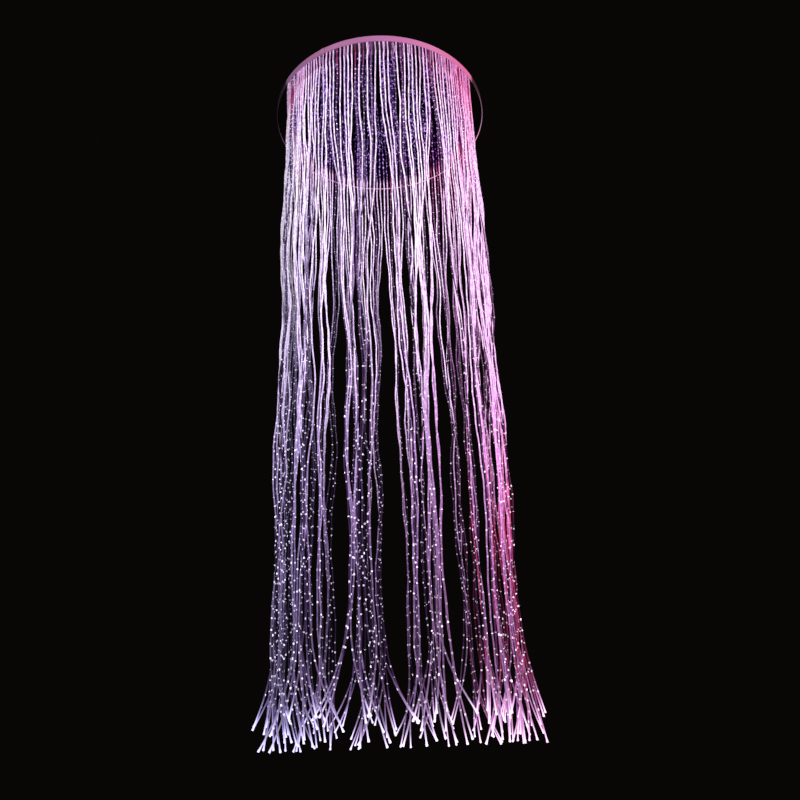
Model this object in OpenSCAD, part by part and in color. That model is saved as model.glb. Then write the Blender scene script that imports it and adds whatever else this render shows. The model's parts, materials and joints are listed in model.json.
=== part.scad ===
// Ceiling-hung ring curtain of side-sparkle optic fibres below a round mirror panel,
// with its lamp, colour wheel and fan in a canopy above. Millimetres, +Z up.
// The origin is the centre of the face that meets the ceiling.

/* [Panel] */
// Diameter of the mirror and of the board that carries it
panel_d = 720; // [680:5:900]
// Distance of the fibre circle from the panel's edge
fibre_inset = 36; // [34:1:60]
// Thickness of the acrylic mirror
mirror_t = 3; // [2:0.5:6]
// Thickness of the carrier board
board_t = 15; // [14:1:25]
// Thickness of the edge strip
strip_t = 2; // [1:0.2:3]
// How far the strip stands above the board
strip_lip = 3; // [1:0.5:6]
// How far the strip drops below the mirror
strip_drop = 1; // [0.5:0.5:3]
// Width of the clip over the strip's joint
joiner_w = 14; // [8:1:30]
// Thickness of that clip
joiner_t = 1.2; // [0.8:0.1:2]
// Direction of the strip's joint, from +X
joiner_angle = 241; // [200:1:340]

/* [Fibres] */
// Diameter of one fibre in its clear sleeve
fibre_d = 4; // [3:0.1:5.6]
// Length of a fibre below the mirror
fibre_len = 2000; // [1000:10:3000]
// How much the cut lengths vary, up or down
fibre_vary = 35; // [0:1:80]
// Fibres in each bunch
fibres_per_bunch = 13; // [8:1:14]
// Radial clearance of a fibre in its drilled hole
fibre_clear = 0.3; // [0.2:0.05:0.5]
// Bend radius of a fibre above the board
fibre_bend = 15; // [12:1:18]
// Gap between the fibres where they clump together
clump_gap = 1.6; // [1:0.1:3]
// How far a clump drifts sideways
clump_shift = 5; // [0:0.5:5.5]
// How far fibres stand in front of or behind their clump
clump_depth = 4; // [0:0.5:5]
// How far a bunch draws together on its way down, as a share of its width
bunch_draw = 0.42; // [0:0.02:0.46]
// Furthest outward bend of a tip
tip_splay = 55; // [0:1:80]
// Width of a bunch at its tips, as a share of its width at the mirror
tip_open = 1.05; // [0.9:0.05:1.1]

/* [Hanging] */
// Gap between the ceiling plate's edge and the drum
plate_clear = 4; // [2:0.5:10]
// Thickness of the ceiling plate
plate_t = 4; // [3:0.5:6]
// Pitch circle of the ceiling screws
ceiling_pcd = 220; // [190:1:250]
// Diameter of the ceiling screw holes
ceiling_hole_d = 6.5; // [4.5:0.1:8]
// Distance of the tie rods from the deck's edge
rod_inset = 12; // [10:0.5:14]
// Diameter of a tie rod
rod_d = 6; // [5:0.5:7]
// Outer diameter of the spacing sleeves
sleeve_d = 12; // [10:0.5:14]
// Length of the sleeves between the board and the deck
lower_len = 62; // [60:1:80]
// Length of the sleeves between the deck and the lamp plate
middle_len = 45; // [42:1:60]
// Length of the sleeves between the lamp plate and the ceiling plate
upper_len = 48; // [46:1:70]
// Width across the flats of a board nut
nut_af = 10; // [9:0.5:12]
// Height of a board nut
nut_h = 6; // [4:0.5:7]

/* [Canopy] */
// Diameter of the drum round the lamp
drum_d = 340; // [306:1:400]
// How far the drum's flat back is cut into its round
flat_cut = 10; // [8.5:0.5:12]
// Wall of the drum
drum_t = 2; // [1:0.2:2.4]
// Height of the cover's top above the board
cover_h = 50; // [46:1:58]
// Wall of the cover
cover_t = 2; // [1:0.2:3]
// Number of cover screws
cover_screws_n = 12; // [6:1:16]
// Number of vent slots on each side of the drum
vents = 9; // [3:2:11]
// Height of a vent slot
vent_h = 44; // [20:1:48]
// Width of a vent slot
vent_w = 5; // [3:0.5:8]

/* [Lamp] */
// Thickness of the deck plate
deck_t = 3; // [2:0.5:4]
// Gap between the edges of the deck and lamp plates and the drum
deck_clear = 16; // [14:0.5:18]
// Thickness of the lamp plate
lamp_t = 2; // [1.6:0.2:3]
// Diameter of the packed bare fibre ends
core_d = 40.8; // [36:0.2:42]
// Wall of the ferrule round them
ferrule_t = 2.4; // [1.6:0.2:3]
// How far the ferrule stands below the deck
ferrule_below = 4; // [2:0.5:6]
// Width of the colour wheel's rim
wheel_rim = 5.1; // [4:0.1:8]
// Thickness of the colour wheel
wheel_t = 2; // [1.5:0.1:3]
// Thickness of a colour filter
filter_t = 1; // [0.6:0.1:1.5]
// Diameter of the wheel's shaft
shaft_d = 4; // [3:0.1:5]
// Diameter of the wheel's motor
motor_d = 38; // [30:1:40]
// Diameter of the heat sink
sink_d = 100; // [90:1:108]
// Height of the heat sink's fins
fin_h = 25; // [15:1:26]
// Width of the square fan frame
fan_w = 70; // [60:1:76]
// Depth of the fan
fan_h = 12; // [10:0.5:13]
// Diameter of the lens
lens_d = 47.6; // [44:0.2:48]
// Height of the lens holder
holder_h = 14; // [12:0.5:16]

/* [Mains] */
// Place of the mains inlet along the drum's flat
inlet_x = -28; // [-29:0.5:-26]
// Place of the switch along the drum's flat
switch_x = 26; // [24:0.5:30]
// Height of both above the deck
mains_h = 15; // [13.5:0.5:17]
// Tilt of the rocker, each way from level
rocker_tilt = 7; // [4:0.5:8]

/* [Hidden] */
bunches = 12;
function bunch_name(k) = str("fibre_bunch_", k < 10 ? "0" : "", k);
$fn = 64;
// An overlap that joins two solids, and how far a cutter passes a face
tiny = 0.01;
over = 1;

// Clearances: a bonded face, a slip fit, a running fit, a seat below another piece
bond = 0.1;
slip = 0.2;
run = 0.05;
seat = 0.3;

// Levels, from the ceiling down
z_plate = -plate_t;
z_lamp_top = z_plate - upper_len;
z_lamp = z_lamp_top - lamp_t;
z_deck_top = z_lamp - middle_len;
z_deck = z_deck_top - deck_t;
z_board_top = z_deck - lower_len;
z_board = z_board_top - board_t;
z_mirror = z_board - mirror_t;

// Panel and fibre circle
panel_r = panel_d / 2;
fibre_r = panel_r - fibre_inset;
bunch_step = 360 / bunches;
fibre_step = bunch_step / fibres_per_bunch;
hole_d = fibre_d + 2 * fibre_clear;
strip_r = panel_r + bond + strip_t;
strip_h = strip_drop + mirror_t + board_t + strip_lip;
strip_gap = 0.6;
spanner_room = 4;
nut_pocket_d = nut_af + 2 * spanner_room;
nut_web = 7;
z_nut = z_board_top - nut_web - nut_h;
rod_tail = 0.5;
rod_shy = 0.2;

// Harness over the board
stub_h = 2;
z_bend = z_board_top + stub_h;
z_run = z_bend + fibre_bend;
clip_setback = 88;
clip_r = fibre_r - clip_setback;
clip_l = 10;
clip_top = 7;
clip_h = stub_h + fibre_bend + clip_top;
slot_wall = 2;
slot_pitch = fibre_d + slot_wall;
clip_end = 5;
clip_w = (fibres_per_bunch - 1) * slot_pitch + 2 * clip_end;
leg_boot_l = 41;
leg_boot_inset = 4;
leg_boot_wall = 1;
leg_d = 12;
leg_boot_t = leg_d + leg_boot_wall;
boot_front_r = clip_r - clip_l / 2;
boot_tail_r = boot_front_r - leg_boot_l;
leg_ring_r = 28;
leg_bend = 20;

// Drum, and the plates that hang inside it
drum_r = drum_d / 2;
drum_flat = drum_r - flat_cut;
plate_d = drum_d - 2 * (drum_t + plate_clear);
deck_d = drum_d - 2 * (drum_t + deck_clear);
rod_pcd = deck_d - 2 * rod_inset;

// Common end, colour wheel and lamp. The wheel reaches from the lamp's axis to the deck's edge
ferrule_d = core_d + 2 * bond + 2 * ferrule_t;
window_room = 2.5;
wheel_reach = core_d / 2 + window_room + wheel_rim;
wheel_offset = (deck_d / 2 - wheel_reach) / 2;
wheel_d = 2 * (wheel_offset + wheel_reach);
wheel_dir = 45;
wheel_gap = 3;
window_in = wheel_offset - core_d / 2 - window_room;
window_out = wheel_offset + core_d / 2 + window_room;
windows = 6;
spoke_w = 6;
filter_lap = 2;
filter_gap = 2;
hub_d = 24;
hub_h = 7;
hub_gap = 3;
lens_gap = 2;
z_holder = z_lamp - holder_h;
z_filters = z_holder - lens_gap - filter_t;
z_wheel = z_filters - wheel_t;
z_ferrule_top = z_wheel - wheel_gap;
z_ferrule = z_deck - ferrule_below;
ferrule_len = z_ferrule_top - z_ferrule;
boot_h = 14;
boot_lip = 4;
boot_skirt = 2;
boot_r = leg_ring_r + leg_d / 2 + boot_skirt;
z_legs_top = z_ferrule - boot_h;
clamp_wall = 10;
clamp_d = ferrule_d + 2 * clamp_wall;
clamp_h = 14;
clamp_screw_d = 5;
clamp_knob_d = 13;
clamp_knob_h = 12;
clamp_knob_gap = 1;
clamp_dir = 135;
motor_h = z_wheel - hub_h - hub_gap - z_deck_top;
motor_tab_l = 5;
motor_tab_w = 8;
motor_tab_t = 2;
shaft_socket = 8;
z_shaft = z_deck_top + motor_h - shaft_socket + seat;
holder_lip = 3;
holder_lip_h = 1.2;
holder_t = 5;
lens_h = 8;
lens_edge = 1;
lens_bulge = lens_h - lens_edge;
lens_ball_r = (pow(lens_d / 2, 2) + pow(lens_bulge, 2)) / (2 * lens_bulge);
led_d = 50;
led_t = 1.6;
led_room = 1.5;
emitter_d = 20;
emitter_h = 2.4;
lamp_hole_d = led_d + 2 * led_room;
sink_base = 5;
fin_t = 2;
fin_pitch = 8;
z_sink = z_lamp_top;
z_fan = z_sink + sink_base + fin_h;
fan_wall = 2;
fan_hub_d = 26;
fan_strut = 1.6;
fan_strut_w = 4;
fan_pin_d = 3;
fan_pin_gap = 0.5;
fan_cap = 1.5;
fan_gap = 1;
rotor_h = fan_h - fan_strut - 2 * fan_gap;
blades = 7;
blade_pitch = 35;
blade_chord = 9;
blade_t = 1.2;
blade_root = 2;
blade_l = fan_w / 2 - fan_wall - fan_gap - fan_hub_d / 2;
vent_ring_r = 95;
vent_hole_d = 56;
lug_w = 16;
lug_h = 20;
lug_t = 2;
lug_root = 10;
lug_dirs = [30, 150, 210, 330];
screw_d = 4;
screw_head_d = 8;
screw_head_h = 2.6;
screw_slot = 1;
screw_end = 3;

// Covers
drum_shy = 1;
drum_top = -drum_shy;
wall_cut = 6 * drum_t;
z_cover_top = z_board_top + cover_h;
lug_r = drum_r - drum_t - seat;
cover_edge = 4;
cover_edge_r = panel_r - cover_edge;
cover_room = 14;
cover_foot_r = fibre_r + cover_room;
cover_slope = 20;
cover_shoulder_r = cover_foot_r - cover_slope;
cover_shoulder_h = 30;
cover_flat = 35;
cover_flat_r = drum_r + cover_flat;
cover_sleeve_gap = 4;
cover_hole_r = rod_pcd / 2 + sleeve_d / 2 + cover_sleeve_gap;
cover_screw_r = (cover_edge_r + cover_foot_r) / 2;
cover_screw_bite = 10;
vent_step = 6;
z_vents = (z_cover_top + z_plate - lug_h) / 2;

// Mains fittings on the drum's flat
z_mains = z_deck_top + mains_h;
inlet_w = 27;
inlet_h = 19;
inlet_depth = 20;
inlet_wall = 1.6;
inlet_flange_w = 50;
inlet_flange_h = 24;
inlet_flange_t = 2;
inlet_screw_x = 19.5;
inlet_screw_d = 3;
inlet_head_d = 6;
inlet_head_h = 2;
pin_w = 2;
pin_h = 4;
pin_gap = 7;
pin_setback = 4;
switch_w = 13;
switch_h = 21.4;
switch_depth = 14;
switch_flange = 2;
switch_flange_t = 1.5;
switch_cavity_w = 10;
switch_cavity_h = 18.8;
switch_cavity_depth = 8;
rocker_w = 9.4;
rocker_h = 17;
rocker_heel = 4;
rocker_edge = 0.5;
rocker_face = 4;
rocker_dip = 2.2;
rocker_pin_d = 2.4;
rocker_pin_l = 0.9;

// Driver, control board and leads
driver_inset = 54;
driver_r = deck_d / 2 - driver_inset;
driver_dir = 225;
driver_l = 84;
driver_w = 42;
driver_h = 26;
terminal_size = [10, 12, 5];
terminal_inset = 4;
terminal_side = 8;
control_inset = 47;
control_r = deck_d / 2 - control_inset;
control_dir = 315;
control_w = 40;
control_l = 70;
control_t = 1.6;
plug_size = [8, 16, 8];
plug_inset = 3;
chip_size = [14, 14, 2.4];
chip_at = [18, 12];
can_d = 8;
can_h = 10;
cans_at = [[26, 42], [26, 54]];
pillar_d = 5;
pillar_h = 6;
pillar_inset = 5;
lead_d = 4;
lead_sides = 6;
inlet_back = drum_flat - drum_t - inlet_depth;
switch_back = drum_flat - drum_t - switch_depth + switch_flange_t;
plug_front = control_r - control_w / 2 + plug_inset;
z_driver_top = z_deck_top + driver_h;
z_plug = z_deck_top + pillar_h + control_t + plug_size.z / 2;
z_motor_lead = z_deck_top + motor_h / 2;
z_sink_lead = z_sink + sink_base / 2;
motor_at = wheel_offset * [cos(wheel_dir), sin(wheel_dir)];
motor_front = motor_at.y - motor_d / 2;
// How far apart two leads leave the switch, and a lead's straight run at a fitting
switch_pair = 3;
lead_run = 8;
// A lead's turn behind the mains fittings, sideways and back
lead_turn = [[0, 6], [4, 14], [16, 19]];
// The driver's lead goes round inside them
lead_dip = 24;
lead_round = 34;
lead_round_from = 82;
lead_round_to = 194;
lead_round_step = 16;
// The lamp's lead rises from the driver, passes the lamp plate and comes down to the heat sink
lamp_lead_out = 12;
lamp_rise = [[0, 9], [4, 20], [14, 28], [28, 30]];
lamp_fall = [[15, 3], [8, 0.7]];

// Strand routes, in a bunch's own frame: x outward from the axis, y along the circle
golden = 137.5;
stations = [0, 0.12, 0.3, 0.7, 0.86, 0.94, 1];
gathered_at = 0.3;
drawn_at = 0.7;
fan_from = 0.86;
clump_pitch = fibre_d + clump_gap;
clumps = [4, 5, 4, 3, 5, 4, 4, 5, 4, 5, 3, 4];
strand_sides = 4;

function ease(t) = t <= 0 ? 0 : t >= 1 ? 1 : t * t * (3 - 2 * t);
function scatter(i) = sin(golden * i);
function total(v) = v * [for (x = v) 1];
function mean(v) = total(v) / len(v);
function fibre_angle(j) = (j - (fibres_per_bunch - 1) / 2) * fibre_step;
function fibre_root(j) = fibre_r * [cos(fibre_angle(j)), sin(fibre_angle(j))];
function clump_of(j, k) = floor(j * clumps[k - 1] / fibres_per_bunch);
function clump_roots(c, k) = [for (j = [0:fibres_per_bunch - 1]) if (clump_of(j, k) == c) fibre_root(j).y];
function gather(s) = ease(s / gathered_at);
function fan(s) = pow(max(0, (s - fan_from) / (1 - fan_from)), 2);
function root_pitch() = fibre_r * sin(fibre_step);
function strand_x(j, k, s) =
    fibre_root(j).x
    + clump_depth * scatter(3 * j + k) * gather(s)
    + tip_splay * (0.5 + 0.45 * scatter(7 * j + 3 * k)) * fan(s);
function strand_y(j, k, s) =
    let (middle = mean(clump_roots(clump_of(j, k), k)))
    let (drawn = middle * (1 - bunch_draw * ease(s / drawn_at)))
    let (drift = clump_shift * scatter(11 * clump_of(j, k) + 5 * k) * gather(s))
    let (beside = (fibre_root(j).y - middle) * (1 - (1 - clump_pitch / root_pitch()) * gather(s)))
    let (hung = drawn + drift + beside)
    hung + (tip_open * fibre_root(j).y - hung) * fan(s);
function strand_z(j, k, s) =
    z_mirror - seat - s * (fibre_len + fibre_vary * scatter(5 * j + 9 * k));

// A bar of flat sides swept down or along a list of rings
function ring_faces(n, sides) = [
    for (i = [0:n - 2], m = [0:sides - 1], half = [0, 1])
        let (a = i * sides + m, b = i * sides + (m + 1) % sides)
        half == 0 ? [a, b, b + sides] : [a, b + sides, a + sides]
];
function cap_faces(n, sides) = [
    for (m = [1:sides - 2], end = [0, 1])
        let (first = (n - 1) * sides)
        end == 0 ? [0, m + 1, m] : [first, first + m, first + m + 1]
];
function unit(v) = v / norm(v);
function heading(path, i) = unit(path[min(i + 1, len(path) - 1)] - path[max(i - 1, 0)]);
function turned(p, a) = [p.x * cos(a) - p.y * sin(a), p.x * sin(a) + p.y * cos(a), p.z];
function lead_ring(path, i) =
    let (t = heading(path, i), across = unit(cross(t, [0.35, 0.5, -0.8])), up = cross(t, across))
    [for (m = [0:lead_sides - 1]) let (a = -360 * m / lead_sides)
        path[i] + lead_d / 2 * (cos(a) * across + sin(a) * up)];

// Routes of the leads, each from one fitting to another
inlet_lead = concat(
    [[inlet_x, inlet_back - bond, z_mains]],
    [for (t = lead_turn) [inlet_x + t.x, inlet_back - t.y, z_mains]],
    [for (i = [len(lead_turn) - 1:-1:0]) let (t = lead_turn[i])
        [switch_x - switch_pair - t.x, inlet_back - t.y, z_mains]],
    [[switch_x - switch_pair, switch_back - bond, z_mains]]
);
driver_lead = concat(
    [[switch_x + switch_pair, switch_back - bond, z_mains]],
    [[switch_x + switch_pair, inlet_back - lead_turn[0].y, z_mains]],
    [[switch_x, inlet_back - lead_dip, z_mains]],
    [for (a = [lead_round_from:lead_round_step:lead_round_to]) turned([inlet_back - lead_round, 0, z_mains], a)],
    [for (gap = [lead_run, bond]) turned([driver_r, -driver_w / 2 - gap, z_mains], driver_dir)]
);
lamp_lead = concat(
    [turned([driver_r + lamp_lead_out, 0, z_driver_top + bond], driver_dir)],
    [for (t = lamp_rise) turned([driver_r + lamp_lead_out - t.x, 0, z_driver_top + t.y], driver_dir)],
    [for (t = lamp_fall) turned([sink_d / 2 + t.x, 0, z_sink_lead + t.y], driver_dir)],
    [turned([sink_d / 2 + slip, 0, z_sink_lead], driver_dir)]
);
motor_lead_from = turned([plug_front - lead_run, 0, z_plug], control_dir);
motor_lead_to = [motor_at.x, motor_front - lead_run, z_motor_lead];
motor_lead = concat(
    [turned([plug_front - bond, 0, z_plug], control_dir)],
    [for (s = [0:0.25:1]) [
        motor_lead_to.x + (motor_lead_from.x - motor_lead_to.x) * pow(1 - s, 2),
        motor_lead_from.y + (motor_lead_to.y - motor_lead_from.y) * s,
        motor_lead_from.z + (motor_lead_to.z - motor_lead_from.z) * s
    ]],
    [[motor_at.x, motor_front - bond, z_motor_lead]]
);
leads = [inlet_lead, driver_lead, lamp_lead, motor_lead];

module at_bunches() {
    for (k = [1:bunches])
        rotate([0, 0, (k - 0.5) * bunch_step])
            children();
}

module at_fibres() {
    for (i = [0:bunches * fibres_per_bunch - 1])
        rotate([0, 0, (i + 0.5) * fibre_step])
            translate([fibre_r, 0, 0])
                children();
}

module at_rods() {
    for (a = [0:90:270])
        rotate([0, 0, a])
            translate([rod_pcd / 2, 0, 0])
                children();
}

module at_wheel() {
    rotate([0, 0, wheel_dir])
        translate([wheel_offset, 0, 0])
            children();
}

module tube(d_out, d_in, h) {
    difference() {
        cylinder(d = d_out, h = h);
        translate([0, 0, -over])
            cylinder(d = d_in, h = h + 2 * over);
    }
}

module pan_screw(d, head_d, head_h, length) {
    difference() {
        union() {
            translate([0, 0, -length])
                cylinder(d = d, h = length + tiny);
            cylinder(d = head_d, h = head_h);
        }
        translate([-head_d, -screw_slot / 2, head_h / 2])
            cube([2 * head_d, screw_slot, head_h]);
    }
}

module flat_disc(d, flat, h) {
    linear_extrude(h)
        intersection() {
            circle(d = d, $fn = 180);
            translate([-d, -d])
                square([2 * d, d + flat]);
        }
}

module rod_holes(z, h) {
    at_rods()
        translate([0, 0, z - over])
            cylinder(d = rod_d + 2 * slip, h = h + 2 * over);
}

// What hangs the curtain

module ceiling_plate() color("gainsboro")
    difference() {
        union() {
            translate([0, 0, z_plate])
                flat_disc(plate_d, drum_flat - drum_t - plate_clear, plate_t);
            for (a = lug_dirs)
                rotate([0, 0, a])
                    lug();
        }
        at_rods()
            translate([0, 0, z_plate - over])
                cylinder(d = rod_d + 2 * run, h = plate_t + 2 * over);
        for (a = [45:90:315])
            rotate([0, 0, a])
                translate([ceiling_pcd / 2, 0, z_plate - over])
                    cylinder(d = ceiling_hole_d, h = plate_t + 2 * over);
        for (a = lug_dirs)
            rotate([0, 0, a])
                translate([lug_r - lug_t - over, 0, z_plate - lug_h / 2])
                    rotate([0, 90, 0])
                        cylinder(d = screw_d + 2 * run, h = lug_t + 2 * over);
    }

module lug() {
    reach = lug_r - plate_d / 2 + lug_root;
    translate([lug_r - reach, -lug_w / 2, z_plate])
        cube([reach, lug_w, plate_t]);
    translate([lug_r - lug_t, -lug_w / 2, z_plate - lug_h])
        cube([lug_t, lug_w, lug_h + tiny]);
}

module tie_rods() color("silver")
    at_rods()
        translate([0, 0, z_nut - rod_tail])
            cylinder(d = rod_d, h = rod_tail - z_nut - rod_shy);

module sleeves(z, length)
    at_rods()
        translate([0, 0, z])
            tube(sleeve_d, rod_d + 2 * slip, length);

module upper_sleeves() color("silver")
    sleeves(z_lamp_top, upper_len);

module middle_sleeves() color("silver")
    sleeves(z_deck_top, middle_len);

module lower_sleeves() color("silver")
    sleeves(z_board_top, lower_len);

module board_nuts() color("silver")
    at_rods()
        translate([0, 0, z_nut])
            difference() {
                cylinder(d = nut_af / cos(30), h = nut_h, $fn = 6);
                translate([0, 0, -over])
                    cylinder(d = rod_d + 2 * run, h = nut_h + 2 * over);
            }

// The panel

module carrier_board() color("whitesmoke")
    difference() {
        translate([0, 0, z_board])
            cylinder(r = panel_r, h = board_t, $fn = 180);
        at_fibres()
            translate([0, 0, z_board - over])
                cylinder(d = hole_d, h = board_t + 2 * over, $fn = 24);
        rod_holes(z_board, board_t);
        at_rods()
            translate([0, 0, z_board - over])
                cylinder(d = nut_pocket_d, h = board_t - nut_web + over);
        for (i = [0:cover_screws_n - 1])
            rotate([0, 0, (i + 0.5) * 360 / cover_screws_n])
                translate([cover_screw_r, 0, z_board_top - cover_screw_bite - seat])
                    cylinder(d = screw_d + 2 * run, h = cover_screw_bite + seat + over);
    }

module mirror_disc() color("lightsteelblue")
    difference() {
        translate([0, 0, z_mirror])
            cylinder(r = panel_r, h = mirror_t, $fn = 180);
        at_fibres()
            translate([0, 0, z_mirror - over])
                cylinder(d = hole_d, h = mirror_t + 2 * over, $fn = 24);
    }

module edge_strip() color("pink")
    difference() {
        translate([0, 0, z_mirror - strip_drop])
            cylinder(r = strip_r, h = strip_h, $fn = 180);
        translate([0, 0, z_mirror - strip_drop - over])
            cylinder(r = panel_r + bond, h = strip_h + 2 * over, $fn = 180);
        rotate([0, 0, joiner_angle])
            translate([panel_r - over, -strip_gap / 2, z_mirror - strip_drop - over])
                cube([strip_t + bond + 2 * over, strip_gap, strip_h + 2 * over]);
    }

module strip_joiner() color("pink")
    rotate([0, 0, joiner_angle - joiner_w / strip_r * 90 / PI])
        translate([0, 0, z_mirror - strip_drop])
            rotate_extrude(angle = joiner_w / strip_r * 180 / PI, $fn = 180)
                translate([strip_r + bond, 0])
                    square([joiner_t, strip_h]);

// The covers

module top_cover() color("whitesmoke")
    difference() {
        translate([0, 0, z_board_top])
            rotate_extrude($fn = 180)
                polygon([
                    [cover_edge_r, 0], [cover_edge_r, cover_t], [cover_foot_r, cover_t],
                    [cover_shoulder_r, cover_shoulder_h], [cover_flat_r, cover_h], [cover_hole_r, cover_h],
                    [cover_hole_r, cover_h - cover_t], [cover_flat_r - cover_t / 2, cover_h - cover_t],
                    [cover_shoulder_r - cover_t, cover_shoulder_h - cover_t], [cover_foot_r - cover_t, 0]
                ]);
        for (i = [0:cover_screws_n - 1])
            rotate([0, 0, (i + 0.5) * 360 / cover_screws_n])
                translate([cover_screw_r, 0, z_board_top - over])
                    cylinder(d = screw_d + 2 * slip, h = cover_t + 2 * over);
    }

module cover_screws() color("silver")
    for (i = [0:cover_screws_n - 1])
        rotate([0, 0, (i + 0.5) * 360 / cover_screws_n])
            translate([cover_screw_r, 0, z_board_top + cover_t])
                pan_screw(screw_d, screw_head_d, screw_head_h, cover_t + cover_screw_bite);

module canopy_drum() color("whitesmoke")
    difference() {
        translate([0, 0, z_cover_top])
            flat_disc(drum_d, drum_flat, drum_top - z_cover_top);
        translate([0, 0, z_cover_top - over])
            flat_disc(drum_d - 2 * drum_t, drum_flat - drum_t, drum_top - z_cover_top + 2 * over);
        for (side = [0, 180], i = [-(vents - 1) / 2:(vents - 1) / 2])
            rotate([0, 0, side + i * vent_step])
                translate([drum_r - wall_cut / 2, -vent_w / 2, z_vents - vent_h / 2])
                    cube([wall_cut, vent_w, vent_h]);
        for (a = lug_dirs)
            rotate([0, 0, a])
                translate([drum_r - wall_cut / 2, 0, z_plate - lug_h / 2])
                    rotate([0, 90, 0])
                        cylinder(d = screw_d + 2 * slip, h = wall_cut);
        translate([inlet_x, drum_flat, z_mains])
            cube([inlet_w + 2 * slip, wall_cut, inlet_h + 2 * slip], center = true);
        for (side = [-1, 1])
            translate([inlet_x + side * inlet_screw_x, drum_flat - wall_cut / 2, z_mains])
                rotate([-90, 0, 0])
                    cylinder(d = inlet_screw_d + 2 * run, h = wall_cut);
        translate([switch_x, drum_flat, z_mains])
            cube([switch_w + 2 * slip, wall_cut, switch_h + 2 * slip], center = true);
    }

module drum_screws() color("silver")
    for (a = lug_dirs)
        rotate([0, 0, a])
            translate([drum_r, 0, z_plate - lug_h / 2])
                rotate([0, 90, 0])
                    pan_screw(screw_d, screw_head_d, screw_head_h, drum_t + seat + lug_t + screw_end);

// Mains inlet and switch

module power_inlet() color("dimgray")
    translate([inlet_x, drum_flat, z_mains]) {
        difference() {
            union() {
                translate([-inlet_flange_w / 2, 0, -inlet_flange_h / 2])
                    cube([inlet_flange_w, inlet_flange_t, inlet_flange_h]);
                translate([-inlet_w / 2, -drum_t - inlet_depth, -inlet_h / 2])
                    cube([inlet_w, drum_t + inlet_depth + tiny, inlet_h]);
            }
            translate([-inlet_w / 2 + inlet_wall, -inlet_depth, -inlet_h / 2 + inlet_wall])
                cube([inlet_w - 2 * inlet_wall, 2 * inlet_depth, inlet_h - 2 * inlet_wall]);
            for (side = [-1, 1])
                translate([side * inlet_screw_x, -over, 0])
                    rotate([-90, 0, 0])
                        cylinder(d = inlet_screw_d + 2 * slip, h = inlet_flange_t + 2 * over);
        }
        for (x = [-pin_gap, 0, pin_gap])
            translate([x - pin_w / 2, -inlet_depth - tiny, x == 0 ? 0 : -pin_h])
                cube([pin_w, inlet_depth - pin_setback, pin_h]);
    }

module inlet_screws() color("silver")
    for (side = [-1, 1])
        translate([inlet_x + side * inlet_screw_x, drum_flat + inlet_flange_t, z_mains])
            rotate([-90, 0, 0])
                pan_screw(inlet_screw_d, inlet_head_d, inlet_head_h, inlet_flange_t + drum_t + screw_end);

module switch_body() color("dimgray")
    translate([switch_x, drum_flat, z_mains])
        difference() {
            union() {
                translate([-switch_w / 2 - switch_flange, 0, -switch_h / 2 - switch_flange])
                    cube([switch_w + 2 * switch_flange, switch_flange_t, switch_h + 2 * switch_flange]);
                translate([-switch_w / 2, switch_flange_t - switch_depth - drum_t, -switch_h / 2])
                    cube([switch_w, switch_depth + drum_t, switch_h]);
            }
            translate([-switch_cavity_w / 2, switch_flange_t - switch_cavity_depth, -switch_cavity_h / 2])
                cube([switch_cavity_w, 2 * switch_cavity_depth, switch_cavity_h]);
            translate([-switch_cavity_w / 2 - rocker_pin_l, 0, 0])
                rotate([0, 90, 0])
                    cylinder(d = rocker_pin_d + 2 * run, h = switch_cavity_w + 2 * rocker_pin_l);
        }

module switch_rocker() color("firebrick")
    translate([switch_x, drum_flat, z_mains])
        rotate([rocker_tilt, 0, 0]) {
            translate([-rocker_w / 2, 0, 0])
                rotate([90, 0, 90])
                    linear_extrude(rocker_w)
                        polygon([
                            [-rocker_heel, 0], [rocker_edge, -rocker_h / 2], [rocker_face, -rocker_h / 2],
                            [rocker_dip, 0], [rocker_face, rocker_h / 2], [rocker_edge, rocker_h / 2]
                        ]);
            translate([-rocker_w / 2 - rocker_pin_l, 0, 0])
                rotate([0, 90, 0])
                    cylinder(d = rocker_pin_d, h = rocker_w + 2 * rocker_pin_l);
        }

// The fibres' held part, from the mirror to the lamp

module root_fibre(j) {
    root = fibre_root(j);
    slot = [clip_r, (j - (fibres_per_bunch - 1) / 2) * slot_pitch];
    way = slot - root;
    translate([root.x, root.y, 0])
        rotate([0, 0, atan2(way.y, way.x)]) {
            translate([0, 0, z_mirror])
                cylinder(d = fibre_d, h = z_bend - z_mirror, $fn = 24);
            translate([fibre_bend, 0, z_bend])
                rotate([90, 0, 0])
                    rotate([0, 0, 90])
                        rotate_extrude(angle = 90, $fn = 24)
                            translate([fibre_bend, 0])
                                circle(d = fibre_d);
            translate([fibre_bend, 0, z_run])
                rotate([0, 90, 0])
                    cylinder(d = fibre_d, h = norm(way) - fibre_bend, $fn = 24);
        }
}

module root_fibres() color("lavender")
    at_bunches()
        for (j = [0:fibres_per_bunch - 1])
            root_fibre(j);

module gather_clips() color("gray")
    at_bunches()
        difference() {
            translate([clip_r - clip_l / 2, -clip_w / 2, z_board_top])
                cube([clip_l, clip_w, clip_h]);
            for (j = [0:fibres_per_bunch - 1]) {
                slot = [clip_r, (j - (fibres_per_bunch - 1) / 2) * slot_pitch];
                way = fibre_root(j) - slot;
                translate([slot.x, slot.y, z_run])
                    rotate([0, 0, atan2(way.y, way.x)])
                        translate([-slip, 0, 0])
                            rotate([0, 90, 0])
                                cylinder(d = hole_d, h = 3 * clip_l, $fn = 24);
            }
        }

module leg_boots() color("dimgray")
    at_bunches()
        translate([0, 0, z_run - leg_boot_t / 2])
            linear_extrude(leg_boot_t)
                polygon([
                    [boot_front_r, leg_boot_inset - clip_w / 2], [boot_front_r, clip_w / 2 - leg_boot_inset],
                    [boot_tail_r, leg_d / 2 + leg_boot_wall], [boot_tail_r, -leg_d / 2 - leg_boot_wall]
                ]);

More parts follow.
